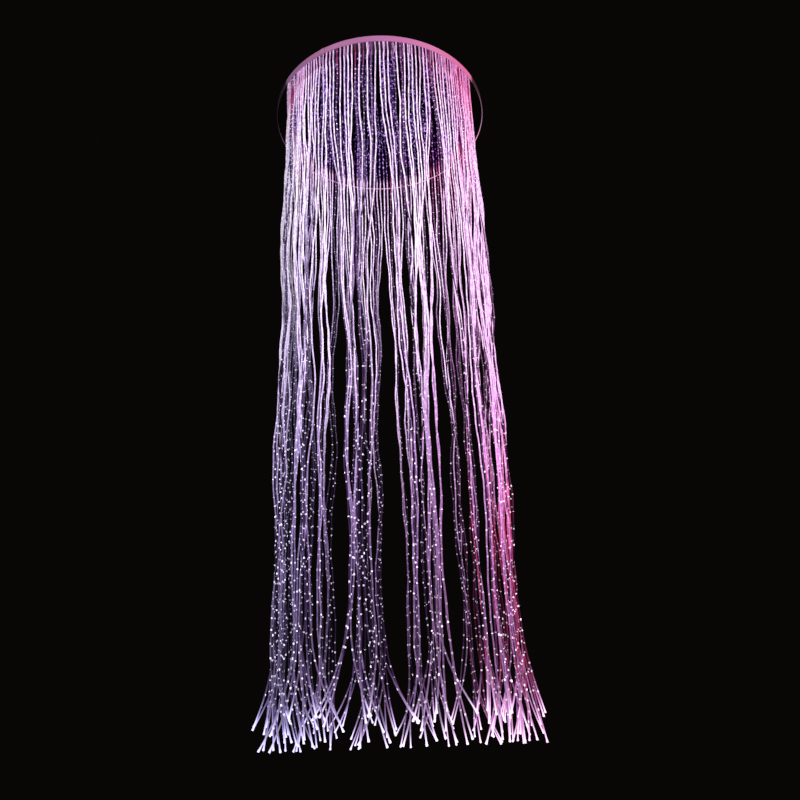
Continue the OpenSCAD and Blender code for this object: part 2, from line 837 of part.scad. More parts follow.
module harness_legs() color("dimgray")
    at_bunches() {
        bend_r = leg_ring_r + leg_bend;
        translate([bend_r, 0, z_run])
            rotate([0, 90, 0])
                cylinder(d = leg_d, h = boot_tail_r - bend_r);
        translate([bend_r, 0, z_run + leg_bend])
            rotate([90, 0, 0])
                rotate([0, 0, 180])
                    rotate_extrude(angle = 90)
                        translate([leg_bend, 0])
                            circle(d = leg_d);
        translate([leg_ring_r, 0, z_run + leg_bend])
            cylinder(d = leg_d, h = z_legs_top - z_run - leg_bend);
    }

module bundle_boot() color("dimgray")
    rotate_extrude()
        polygon([
            [0, z_legs_top], [boot_r, z_legs_top], [boot_r, z_legs_top + boot_lip],
            [ferrule_d / 2, z_ferrule], [0, z_ferrule]
        ]);

module common_end_ferrule() color("silver")
    translate([0, 0, z_ferrule])
        tube(ferrule_d, core_d + 2 * bond, ferrule_len);

module fibre_core() color("lavender")
    translate([0, 0, z_ferrule])
        cylinder(d = core_d, h = ferrule_len);

module deck_plate() color("gainsboro")
    difference() {
        translate([0, 0, z_deck])
            cylinder(d = deck_d, h = deck_t, $fn = 180);
        translate([0, 0, z_deck - over])
            cylinder(d = ferrule_d + 2 * slip, h = deck_t + 2 * over);
        rod_holes(z_deck, deck_t);
    }

module port_clamp() color("silver")
    difference() {
        translate([0, 0, z_deck_top])
            tube(clamp_d, ferrule_d + 2 * bond, clamp_h);
        rotate([0, 0, clamp_dir])
            translate([0, 0, z_deck_top + clamp_h / 2])
                rotate([0, 90, 0])
                    cylinder(d = clamp_screw_d + 2 * run, h = clamp_d);
    }

module clamp_screw() color("dimgray")
    rotate([0, 0, clamp_dir])
        translate([0, 0, z_deck_top + clamp_h / 2])
            rotate([0, 90, 0]) {
                translate([0, 0, ferrule_d / 2 + bond])
                    cylinder(d = clamp_screw_d, h = clamp_wall + 2 * clamp_knob_gap);
                translate([0, 0, clamp_d / 2 + clamp_knob_gap])
                    cylinder(d = clamp_knob_d, h = clamp_knob_h);
            }

// Colour wheel

module wheel_motor() color("gray")
    at_wheel()
        difference() {
            union() {
                translate([0, 0, z_deck_top])
                    cylinder(d = motor_d, h = motor_h);
                translate([-motor_tab_w / 2, -motor_d / 2 - motor_tab_l, z_deck_top])
                    cube([motor_tab_w, motor_d + 2 * motor_tab_l, motor_tab_t]);
            }
            translate([0, 0, z_deck_top + motor_h - shaft_socket])
                cylinder(d = shaft_d + 2 * run, h = shaft_socket + over);
        }

module wheel_shaft() color("silver")
    at_wheel()
        translate([0, 0, z_shaft])
            cylinder(d = shaft_d, h = z_filters - z_shaft);

module colour_wheel() color("black")
    at_wheel()
        difference() {
            union() {
                translate([0, 0, z_wheel])
                    cylinder(d = wheel_d, h = wheel_t, $fn = 120);
                translate([0, 0, z_wheel - hub_h])
                    cylinder(d = hub_d, h = hub_h + tiny);
            }
            translate([0, 0, z_wheel - hub_h - over])
                cylinder(d = shaft_d + 2 * run, h = hub_h + wheel_t + 2 * over);
            difference() {
                translate([0, 0, z_wheel - over])
                    tube(2 * window_out, 2 * window_in, wheel_t + 2 * over);
                for (i = [0:windows - 1])
                    rotate([0, 0, i * 360 / windows])
                        translate([0, -spoke_w / 2, z_wheel - 2 * over])
                            cube([wheel_d, spoke_w, wheel_t + 4 * over]);
            }
        }

module colour_filters() color("orchid")
    at_wheel()
        translate([0, 0, z_filters])
            difference() {
                tube(2 * (window_out + filter_lap), 2 * (window_in - filter_lap), filter_t);
                for (i = [0:windows - 1])
                    rotate([0, 0, i * 360 / windows])
                        translate([0, -filter_gap / 2, -over])
                            cube([wheel_d, filter_gap, filter_t + 2 * over]);
            }

// Lamp

module lamp_plate() color("gainsboro")
    difference() {
        translate([0, 0, z_lamp])
            cylinder(d = deck_d, h = lamp_t, $fn = 180);
        translate([0, 0, z_lamp - over])
            cylinder(d = lamp_hole_d, h = lamp_t + 2 * over);
        rod_holes(z_lamp, lamp_t);
        for (a = [45:90:315])
            rotate([0, 0, a])
                translate([vent_ring_r, 0, z_lamp - over])
                    cylinder(d = vent_hole_d, h = lamp_t + 2 * over);
    }

module led_board() color("white")
    translate([0, 0, z_sink - led_t])
        cylinder(d = led_d, h = led_t);

module led_emitter() color("gold")
    translate([0, 0, z_sink - led_t - emitter_h])
        cylinder(d = emitter_d, h = emitter_h);

module lens_holder() color("dimgray")
    difference() {
        translate([0, 0, z_holder])
            cylinder(d = lamp_hole_d + 2 * holder_t, h = z_lamp - z_holder);
        translate([0, 0, z_holder + holder_lip_h])
            cylinder(d = lens_d + 2 * slip, h = z_lamp - z_holder);
        translate([0, 0, z_holder - over])
            cylinder(d = lens_d - 2 * holder_lip, h = z_lamp - z_holder);
    }

module lens() color("lightcyan")
    intersection() {
        translate([0, 0, z_holder + holder_lip_h])
            cylinder(d = lens_d, h = lens_h);
        translate([0, 0, z_holder + holder_lip_h + lens_h - lens_ball_r])
            sphere(r = lens_ball_r, $fn = 96);
    }

module heat_sink() color("silver")
    intersection() {
        union() {
            translate([-sink_d / 2, -sink_d / 2, z_sink])
                cube([sink_d, sink_d, sink_base]);
            for (x = [-fin_pitch * floor(sink_d / 2 / fin_pitch):fin_pitch:sink_d / 2])
                translate([x - fin_t / 2, -sink_d / 2, z_sink])
                    cube([fin_t, sink_d, sink_base + fin_h]);
        }
        translate([0, 0, z_sink])
            cylinder(d = sink_d, h = sink_base + fin_h);
    }

module fan_frame() color("dimgray")
    translate([0, 0, z_fan]) {
        difference() {
            translate([-fan_w / 2, -fan_w / 2, 0])
                cube([fan_w, fan_w, fan_h]);
            translate([0, 0, -over])
                cylinder(d = fan_w - 2 * fan_wall, h = fan_h + 2 * over);
        }
        for (a = [45, 135])
            rotate([0, 0, a])
                translate([-fan_w / 2, -fan_strut_w / 2, fan_h - fan_strut])
                    cube([fan_w, fan_strut_w, fan_strut]);
        translate([0, 0, fan_h - fan_strut])
            cylinder(d = fan_hub_d, h = fan_strut);
        translate([0, 0, fan_gap + fan_cap + fan_pin_gap])
            cylinder(d = fan_pin_d, h = fan_h - fan_gap - fan_cap - fan_pin_gap - fan_strut + tiny);
    }

module fan_rotor() color("black")
    translate([0, 0, z_fan + fan_gap])
        difference() {
            union() {
                cylinder(d = fan_hub_d, h = rotor_h);
                for (i = [0:blades - 1])
                    rotate([0, 0, i * 360 / blades])
                        translate([fan_hub_d / 2 - blade_root, 0, rotor_h / 2])
                            rotate([blade_pitch, 0, 0])
                                translate([0, -blade_chord / 2, -blade_t / 2])
                                    cube([blade_l, blade_chord, blade_t]);
            }
            translate([0, 0, fan_cap])
                cylinder(d = fan_pin_d + 2 * run, h = fan_h);
        }

// Driver, control board and leads

module driver_box() color("white")
    rotate([0, 0, driver_dir])
        translate([driver_r - driver_l / 2, -driver_w / 2, z_deck_top]) {
            cube([driver_l, driver_w, driver_h]);
            for (x = [terminal_inset, driver_l - terminal_inset - terminal_size.x])
                translate([x, terminal_side, driver_h - tiny])
                    cube(terminal_size);
        }

module control_board() color("seagreen")
    rotate([0, 0, control_dir])
        translate([control_r - control_w / 2, -control_l / 2, z_deck_top + pillar_h]) {
            cube([control_w, control_l, control_t]);
            translate([plug_inset, (control_l - plug_size.y) / 2, control_t - tiny])
                cube(plug_size);
            translate([chip_at.x, chip_at.y, control_t - tiny])
                cube(chip_size);
            for (p = cans_at)
                translate([p.x, p.y, control_t - tiny])
                    cylinder(d = can_d, h = can_h);
        }

module board_pillars() color("silver")
    rotate([0, 0, control_dir])
        for (x = [-1, 1], y = [-1, 1])
            translate([
                control_r + x * (control_w / 2 - pillar_inset),
                y * (control_l / 2 - pillar_inset),
                z_deck_top
            ])
                cylinder(d = pillar_d, h = pillar_h);

module lead_set() color("ivory")
    for (path = leads)
        polyhedron(
            points = [for (i = [0:len(path) - 1], p = lead_ring(path, i)) p],
            faces = concat(ring_faces(len(path), lead_sides), cap_faces(len(path), lead_sides))
        );

// The hanging fibres

module strand(j, k) {
    polyhedron(
        points = [
            for (s = stations, m = [0:strand_sides - 1])
                let (a = 360 * m / strand_sides)
                [
                    strand_x(j, k, s) + fibre_d / 2 * cos(a),
                    strand_y(j, k, s) + fibre_d / 2 * sin(a),
                    strand_z(j, k, s)
                ]
        ],
        faces = concat(ring_faces(len(stations), strand_sides), cap_faces(len(stations), strand_sides))
    );
}

module fibre_bunch(k) color("lavender")
    rotate([0, 0, (k - 0.5) * bunch_step])
        for (j = [0:fibres_per_bunch - 1])
            strand(j, k);

ceiling_plate();
tie_rods();
upper_sleeves();
middle_sleeves();
lower_sleeves();
board_nuts();
carrier_board();
mirror_disc();
edge_strip();
strip_joiner();
top_cover();
cover_screws();
canopy_drum();
drum_screws();
power_inlet();
inlet_screws();
switch_body();
switch_rocker();
root_fibres();
gather_clips();
leg_boots();
harness_legs();
bundle_boot();
common_end_ferrule();
fibre_core();
deck_plate();
port_clamp();
clamp_screw();
wheel_motor();
wheel_shaft();
colour_wheel();
colour_filters();
lamp_plate();
led_board();
led_emitter();
lens_holder();
lens();
heat_sink();
fan_frame();
fan_rotor();
driver_box();
control_board();
board_pillars();
lead_set();
for (k = [1:bunches])
    fibre_bunch(k);
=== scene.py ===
"""Looks of the fibre optic light curtain: glowing strands, smoked mirror, edge strip, canopy."""
import json
import math
import random

import bpy
import numpy as np
from mathutils import Matrix, Vector


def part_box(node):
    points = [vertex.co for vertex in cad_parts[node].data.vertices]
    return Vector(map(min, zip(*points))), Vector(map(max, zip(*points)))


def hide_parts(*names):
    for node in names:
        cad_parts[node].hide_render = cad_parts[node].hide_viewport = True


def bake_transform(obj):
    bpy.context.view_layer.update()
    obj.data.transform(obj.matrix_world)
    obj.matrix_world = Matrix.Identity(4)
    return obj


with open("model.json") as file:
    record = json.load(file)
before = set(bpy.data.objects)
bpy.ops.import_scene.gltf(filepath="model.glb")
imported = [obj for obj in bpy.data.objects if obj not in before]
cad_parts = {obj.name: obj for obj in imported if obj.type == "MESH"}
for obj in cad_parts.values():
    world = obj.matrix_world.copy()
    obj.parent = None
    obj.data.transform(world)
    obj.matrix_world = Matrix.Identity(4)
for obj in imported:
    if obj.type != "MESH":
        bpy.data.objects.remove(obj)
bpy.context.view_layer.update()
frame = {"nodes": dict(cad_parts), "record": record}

# Strands, in metres. Roots, lengths, bunches and fans follow the part's source. Here the clumps
# lie closer, stand deeper, drift further and gather lower, and the strands wave and stray.
BUNCHES = 12
FIBRES = 13
FIBRE_CIRCLE = 0.324
FIBRE_R = 0.0018
FIBRE_LEN = 2.0
FIBRE_VARY = 0.035
CLUMPS = (4, 5, 4, 3, 5, 4, 4, 5, 4, 5, 3, 4)
CLUMP_PITCH = 0.0028
CLUMP_SHIFT = 0.008
CLUMP_DEPTH = 0.009
GATHERED_AT = 0.42
BUNCH_DRAW = 0.42
DRAWN_AT = 0.7
FAN_FROM = 0.86
TIP_SPLAY = 0.055
SPLAY_SHARE = 0.5
SPLAY_VARY = 0.45
TIP_OPEN = 1.05
STRAY_FROM = 0.88
STRAY = 0.075
STRAY_ALONG = (-1, 1)
STRAY_OUT = (-0.7, 0.15)
GOLDEN = 137.5
MIRROR_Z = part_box("mirror_disc")[0][2]
ROOT_GAP = 0.0002
ROOT_Z = MIRROR_Z - ROOT_GAP

# Waves: how far outward, how far along the circle, and how many down a strand.
# A clump waves as one, and each of its strands has two finer waves of its own.
CLUMP_WAVE = (0.007, 0.006, 3.0)
OWN_WAVES = ((0.003, 0.002, 6.0), (0.001, 0.0012, 15.0))
WAVE_VARY = (0.7, 1.4)
FULL_TURN = 6.28

# Rings of a strand, closer together towards its melted tip
BODY_RINGS = 82
FAN_RINGS = 12
CLOSER_FROM = 0.84
TIP_RINGS = np.array([1.0, 0.7, 0.4, 0.15, 0.03, 0.0])
STRAND_SIDES = 8
TIP_LEN = 0.010
TIP_SWELL = 1.6
TIP_ROUNDING = (0.93, 0.55)

# First seeds of the dice, so that every run gives the same strands
CLUMP_SEED = 0
WAVE_SEED = 5000
LIGHT_SEED = 9000
NOTCH_SEED = 20000
SEED_STEP = 100

# Stage
BACKGROUND = (0.0027, 0.0019, 0.0019, 1.0)
SOFT_LIGHT = (1.0, 1.0, 1.0, 1.0)
SOFT_STRENGTH = 0.42
LAMP_WIDTH = 2.4
LAMPS = (
    ("key", (-2.4, -2.9, 1.4), (0, 0, -1.0), 62.0),
    ("fill", (2.8, -2.2, 1.3), (0, 0, -1.1), 44.0),
    ("back", (0.8, 3.4, 1.3), (0, 0, -0.6), 46.0),
)
FLOOR_Z = -2.5
FLOOR_R = 2.0
FLOOR_SIDES = 96
FLOOR_FADE = (1.1, 1.9)
PHOTO_AT = (0.0, -2.208, -2.222)
PHOTO_ANGLES = (0.824, 23.63, 2.25)
PHOTO_LENS = 36.0
PHOTO_SENSOR = 36.0

# A Mix node's colour sockets
MIX_FACTOR, MIX_LOW, MIX_HIGH, MIX_RESULT = 0, 6, 7, 2


class Link:
    """A socket inside one node tree. Operators on it add Math nodes."""

    def __init__(self, tree, socket=None):
        self.tree = tree
        self.socket = socket

    def node(self, kind, settings=None, inputs=None, out=0):
        """Adds a node: its settings first, then the values or links of its sockets."""
        made = self.tree.nodes.new("ShaderNode" + kind)
        for name, value in (settings or {}).items():
            if name == "stops":
                set_stops(made.color_ramp, value)
            elif name == "ramp_interpolation":
                made.color_ramp.interpolation = value
            else:
                setattr(made, name, value)
        for key, value in (inputs or {}).items():
            if isinstance(value, Link):
                self.tree.links.new(value.socket, made.inputs[key])
            else:
                made.inputs[key].default_value = value
        return Link(self.tree, made.outputs[out] if len(made.outputs) else None)

    def math(self, operation, *values):
        return self.node("Math", {"operation": operation}, dict(enumerate(values)))

    def mix(self, factor, low, high, blend="MIX"):
        """A colour between two others."""
        settings = {"data_type": "RGBA", "blend_type": blend}
        inputs = {MIX_FACTOR: factor, MIX_LOW: low, MIX_HIGH: high}
        return self.node("Mix", settings, inputs, MIX_RESULT)

    def mix_shader(self, factor, low, high):
        return self.node("MixShader", inputs=dict(enumerate((factor, low, high))))

    def place(self):
        """Where a point lies on the object."""
        return self.node("TexCoord", out="Object")

    def axis(self, place, name):
        return self.node("SeparateXYZ", inputs={"Vector": place}, out=name)

    def stretched(self, place, scale):
        return self.node("Mapping", inputs={"Vector": place, "Scale": scale})

    def noise(self, place, scale, detail, distortion=0.0):
        inputs = {"Vector": place, "Scale": scale, "Detail": detail, "Distortion": distortion}
        return self.node("TexNoise", inputs=inputs)

    def climb(self, value, low, high, smooth=False):
        """From 0 at the low value to 1 at the high one."""
        settings = {"interpolation_type": "SMOOTHSTEP" if smooth else "LINEAR"}
        inputs = {"Value": value, "From Min": low, "From Max": high}
        return self.node("MapRange", settings, inputs)

    def bump(self, height, distance, strength):
        inputs = {"Height": height, "Distance": distance, "Strength": strength}
        return self.node("Bump", inputs=inputs, out="Normal")

    def feed(self, node, key):
        self.tree.links.new(self.socket, node.inputs[key])

    def __add__(self, other):
        return self.math("ADD", self, other)

    def __radd__(self, other):
        return self.math("ADD", other, self)

    def __sub__(self, other):
        return self.math("SUBTRACT", self, other)

    def __rsub__(self, other):
        return self.math("SUBTRACT", other, self)

    def __mul__(self, other):
        return self.math("MULTIPLY", self, other)

    def __rmul__(self, other):
        return self.math("MULTIPLY", other, self)


def set_stops(ramp, stops):
    """Sets a ramp's stops from (place, colour) pairs."""
    while len(ramp.elements) > 1:
        ramp.elements.remove(ramp.elements[-1])
    for i, (place, colour) in enumerate(stops):
        stop = ramp.elements[0] if i == 0 else ramp.elements.new(place)
        stop.position = place
        stop.color = colour


def rgb(r, g, b):
    return (r, g, b, 1.0)


def toned(colour, gain):
    return tuple(min(1.0, c * gain) for c in colour[:3]) + (1.0,)


def new_finish(name, constants):
    """A material with its Principled shader; constants are set on the shader's own sockets."""
    material = bpy.data.materials.new(name)
    material.use_nodes = True
    shader = material.node_tree.nodes["Principled BSDF"]
    for key, value in constants.items():
        shader.inputs[key].default_value = value
    return material, shader, Link(material.node_tree)


# Finishes. A noise is read off at so many grains a metre, and a bump's distance is in metres.

def moulded(name, colour, rough=0.45, grain=1400.0, spread=0.1):
    """Moulded plastic or rubber: a fine grain in the surface and slow changes of tone."""
    material, shader, make = new_finish(name, {})
    place = make.place()
    grains = make.noise(place, scale=grain, detail=2.0)
    cloud = make.noise(place, scale=22.0, detail=3.0)
    dark, light = toned(colour, 1 - spread), toned(colour, 1 + spread)
    make.mix(cloud, dark, light).feed(shader, "Base Color")
    (rough - 0.08 + 0.16 * cloud).feed(shader, "Roughness")
    make.bump(grains, distance=0.00004, strength=0.6).feed(shader, "Normal")
    return material


def powder_coat(name, colour):
    """Sprayed coating on sheet metal: orange peel, and slightly duller patches."""
    material, shader, make = new_finish(name, {"Specular IOR Level": 0.5})
    place = make.place()
    peel = make.noise(place, scale=520.0, detail=3.0)
    cloud = make.noise(place, scale=7.0, detail=4.0)
    make.mix(cloud, toned(colour, 0.95), toned(colour, 1.03)).feed(shader, "Base Color")
    (0.36 + 0.14 * cloud).feed(shader, "Roughness")
    make.bump(peel, distance=0.00008, strength=0.5).feed(shader, "Normal")
    return material


def brushed(name, colour, rough, stretch):
    """Metal with fine parallel brush lines."""
    material, shader, make = new_finish(name, {"Metallic": 1.0})
    place = make.place()
    lines = make.noise(make.stretched(place, stretch), scale=1.0, detail=4.0)
    cloud = make.noise(place, scale=14.0, detail=2.0)
    make.mix(lines, toned(colour, 0.86), toned(colour, 1.08)).feed(shader, "Base Color")
    (rough - 0.1 + 0.14 * lines + 0.1 * cloud).feed(shader, "Roughness")
    make.bump(lines, distance=0.00003, strength=0.4).feed(shader, "Normal")
    return material


def galvanised(name, colour):
    """Zinc-coated sheet steel: flat grains of spangle, each of its own tone and dullness."""
    material, shader, make = new_finish(name, {"Metallic": 0.55})
    place = make.place()
    grain = make.node("TexVoronoi", inputs={"Vector": place, "Scale": 95.0}, out="Color")
    tone = make.axis(grain, "X")
    cloud = make.noise(place, scale=9.0, detail=4.0)
    shade = 0.7 * tone + 0.3 * cloud
    make.mix(shade, toned(colour, 0.82), toned(colour, 1.12)).feed(shader, "Base Color")
    (0.34 + 0.16 * tone + 0.1 * cloud).feed(shader, "Roughness")
    return material


def smoked_mirror(name):
    """Acrylic mirror: smoked, speckled and slightly wavy inside the fibre circle, clear outside."""
    material, shader, make = new_finish(name, {"Metallic": 1.0})
    place = make.place()
    x, y = make.axis(place, "X"), make.axis(place, "Y")
    out = make.math("SQRT", x * x + y * y)
    clear = make.climb(out, low=0.295, high=0.330, smooth=True)
    marks = make.noise(place, scale=5.0, detail=5.0, distortion=1.2)
    specks = make.climb(make.noise(place, scale=130.0, detail=0.0), low=0.51, high=0.65)
    haze = make.mix(marks, rgb(0.045, 0.029, 0.092), rgb(0.085, 0.056, 0.175))
    smoke = make.mix(specks, haze, rgb(0.66, 0.50, 0.95))
    make.mix(clear, smoke, rgb(0.74, 0.58, 0.70)).feed(shader, "Base Color")
    (0.015 + 0.02 * marks).feed(shader, "Roughness")
    waves = make.noise(place, scale=70.0, detail=1.0) * (1 - clear)
    make.bump(waves, distance=0.00022, strength=1.0).feed(shader, "Normal")
    return material


# Painted light and shade along the band: dark painted shade at both sides, mauve to warm pink
# painted light between them.
BAND_PAINTED_LIGHT_STOPS = (
    (0.0, rgb(0.028, 0.018, 0.028)), (0.072, rgb(0.028, 0.018, 0.028)),
    (0.082, rgb(0.345, 0.160, 0.345)), (0.28, rgb(0.500, 0.155, 0.385)),
    (0.5, rgb(0.620, 0.205, 0.480)), (0.72, rgb(0.740, 0.180, 0.440)),
    (0.9, rgb(0.880, 0.165, 0.420)), (0.923, rgb(0.900, 0.215, 0.395)),
    (0.933, rgb(0.060, 0.024, 0.032)), (1.0, rgb(0.060, 0.024, 0.032)),
)
BAND_FRONT = 1.38
BAND_REAR = 1.14
LIP_HIGH = 0.0002


def painted_light_band(name):
    """Edging plastic in painted light: painted coloured light, mauve to warm pink across the panel,
    and painted shade at its sides.

    It has a faint painted glow towards the right, and a painted highlight on its lower lip at the
    rear and right.
    """
    material, shader, make = new_finish(name, {"Emission Strength": 1.0})
    place = make.place()
    across, depth, height = (make.axis(place, axis) for axis in "XYZ")
    # The painted light and shade, read off across the band at the front and at the rear.
    front, rear = (
        make.node("ValToRGB", {"stops": BAND_PAINTED_LIGHT_STOPS}, {"Fac": 0.5 + across * spread})
        for spread in (BAND_FRONT, BAND_REAR)
    )
    hue = make.mix(make.climb(depth, low=-0.03, high=0.12, smooth=True), front, rear)
    grains = make.noise(place, scale=160.0, detail=3.0)
    # Base colour: the painted light and shade, times the plastic's grain.
    make.mix(0.4 * grains, hue, rgb(0.78, 0.74, 0.78), "MULTIPLY").feed(shader, "Base Color")
    (0.34 + 0.16 * grains).feed(shader, "Roughness")
    make.bump(grains, distance=0.00005, strength=0.4).feed(shader, "Normal")
    # A faint painted glow in the painted light's colour, growing towards the right.
    warm = make.node("Clamp", inputs={"Value": 0.06 + 0.85 * across})
    glow = make.mix(warm, rgb(0.0, 0.0, 0.0), hue)
    # A painted highlight on the lower lip, strongest at the rear and right.
    lip = make.math("LESS_THAN", height, MIRROR_Z + LIP_HIGH)
    painted_highlight_share = make.node("Clamp", inputs={"Value": 2.5 * depth + 1.2 * across + 0.05})
    make.mix(lip * painted_highlight_share, glow, rgb(0.70, 0.42, 0.60)).feed(shader, "Emission Color")
    return material


def lit_sleeve(name, colour, rough):
    """Clear sleeve over a lit fibre. The mesh holds its light, and in alpha how steady it is."""
    constants = {"Emission Strength": 1.7, "Specular IOR Level": 0.15}
    material, shader, make = new_finish(name, constants)
    place = make.place()
    cloud = make.noise(place, scale=60.0, detail=2.0)
    make.mix(cloud, toned(colour, 0.75), toned(colour, 1.25)).feed(shader, "Base Color")
    (rough - 0.08 + 0.16 * cloud).feed(shader, "Roughness")
    along = make.stretched(place, (420.0, 420.0, 85.0))
    leaks = make.climb(make.noise(along, scale=1.0, detail=1.0), low=0.34, high=0.54)
    glow, steady = (
        make.node("Attribute", {"attribute_name": "glow"}, out=part) for part in ("Color", "Alpha")
    )
    faint = make.mix(1.0, glow, rgb(0.38, 0.22, 0.50), "MULTIPLY")
    make.mix(make.math("MAXIMUM", leaks, steady), faint, glow).feed(shader, "Emission Color")
    material.cycles.emission_sampling = "NONE"
    return material


def filter_film(name, centre):
    """Six tinted films round the colour wheel, told apart by their direction from its axis."""
    material, shader, make = new_finish(name, {"Roughness": 0.12, "Coat Weight": 0.4})
    place = make.place()
    x, y = make.axis(place, "X") - centre[0], make.axis(place, "Y") - centre[1]
    turn = make.math("ARCTAN2", y, x)
    films = [
        rgb(0.80, 0.10, 0.55), rgb(0.35, 0.20, 0.80), rgb(0.10, 0.35, 0.80),
        rgb(0.90, 0.55, 0.80), rgb(0.75, 0.70, 0.95), rgb(0.85, 0.08, 0.20),
    ]
    settings = {
        "stops": [(i / len(films), film) for i, film in enumerate(films)],
        "ramp_interpolation": "CONSTANT",
    }
    wheel = make.node("ValToRGB", settings, {"Fac": 0.5 + turn * (0.5 / math.pi)})
    wheel.feed(shader, "Base Color")
    return material


def lens_glass(name):
    """Clear pressed glass with a faint tint."""
    material, shader, make = new_finish(name, {"Transmission Weight": 0.9, "IOR": 1.5})
    cloud = make.noise(make.place(), scale=40.0, detail=2.0)
    make.mix(cloud, rgb(0.88, 0.93, 0.95), rgb(0.96, 0.98, 0.98)).feed(shader, "Base Color")
    (0.03 + 0.04 * cloud).feed(shader, "Roughness")
    return material


def board_laminate(name):
    """White laminate over a wooden board."""
    material, shader, make = new_finish(name, {})
    along = make.stretched(make.place(), (6.0, 90.0, 90.0))
    fibre = make.noise(along, scale=1.0, detail=5.0)
    make.mix(fibre, rgb(0.74, 0.72, 0.68), rgb(0.82, 0.81, 0.78)).feed(shader, "Base Color")
    (0.4 + 0.2 * fibre).feed(shader, "Roughness")
    return material


def make_finishes():
    """Every slot's finish, by the slot's name in the record."""
    wheel_low, wheel_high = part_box("colour_wheel")
    wheel_centre = [(a + b) / 2 for a, b in zip(wheel_low, wheel_high)]
    white = rgb(0.76, 0.76, 0.73)
    steel, brass = rgb(0.66, 0.67, 0.68), rgb(0.72, 0.50, 0.20)
    return {
        "mirror": smoked_mirror("smoked_mirror"),
        # The edge strip's finish carries painted light, painted shade, a painted glow and a painted
        # highlight.
        "edge": painted_light_band("painted_light_band"),
        "board": board_laminate("board_laminate"),
        "fibre": moulded("bare_fibre", rgb(0.62, 0.56, 0.80), rough=0.3, grain=300.0),
        "white_paint": powder_coat("white_powder_coat", rgb(0.80, 0.80, 0.79)),
        "plate_steel": galvanised("plate_steel", rgb(0.58, 0.59, 0.60)),
        "bright_steel": brushed("bright_steel", steel, 0.28, stretch=(300.0, 300.0, 40.0)),
        "black_plastic": moulded("black_plastic", rgb(0.018, 0.018, 0.020)),
        "rocker_red": moulded("rocker_red", rgb(0.45, 0.015, 0.012), rough=0.25, grain=500.0),
        "sleeve_rubber": moulded("sleeve_rubber", rgb(0.022, 0.022, 0.022), rough=0.7, grain=700.0),
        "aluminium": brushed(
            "turned_aluminium", rgb(0.70, 0.71, 0.72), 0.3, stretch=(60.0, 60.0, 900.0)),
        "filter_film": filter_film("filter_film", wheel_centre),
        "lens_glass": lens_glass("lens_glass"),
        "lamp_white": moulded("lamp_white", white, rough=0.5, spread=0.04),
        "lamp_chip": moulded("lamp_chip", rgb(0.85, 0.62, 0.06), rough=0.2, grain=3000.0),
        "circuit_green": moulded("circuit_green", rgb(0.012, 0.11, 0.04), rough=0.3, grain=2600.0),
        "pillar_brass": brushed("pillar_brass", brass, 0.3, stretch=(60.0, 60.0, 700.0)),
    }


def dress_solids(finishes):
    """Gives each solid of the frame the finish of its slot."""
    for row in frame["record"]["subparts"]:
        solid = frame["nodes"][row["node"]]
        for slot in solid.material_slots:
            slot.material = finishes[row["material_slot"]]


# Strands: k counts the bunches from 1, and j the strands of a bunch from 0. Shares run down a
# strand from its root.

def dice_for(first, k, i):
    """The dice of one strand, or one clump, of a bunch."""
    return random.Random(first + SEED_STEP * k + i)


def scatter(i):
    return math.sin(math.radians(GOLDEN * i))


def ease(t):
    t = np.clip(t, 0.0, 1.0)
    return t * t * (3 - 2 * t)


def root_of(j):
    angle = math.radians((j - (FIBRES - 1) / 2) * 360 / BUNCHES / FIBRES)
    return FIBRE_CIRCLE * math.cos(angle), FIBRE_CIRCLE * math.sin(angle)


def clump_of(j, k):
    return math.floor(j * CLUMPS[k - 1] / FIBRES)


def turned(points, k):
    """From a bunch's own frame to the object's."""
    angle = math.radians((k - 0.5) * 360 / BUNCHES)
    c, s = math.cos(angle), math.sin(angle)
    x, y, z = points.T
    return np.stack([x * c - y * s, x * s + y * c, z], axis=1)


def root_place(j, k):
    """A root's side, -1 left to 1 right, and depth, -1 front to 1 rear."""
    return turned(np.array([[*root_of(j), 0.0]]), k)[0][:2] / FIBRE_CIRCLE


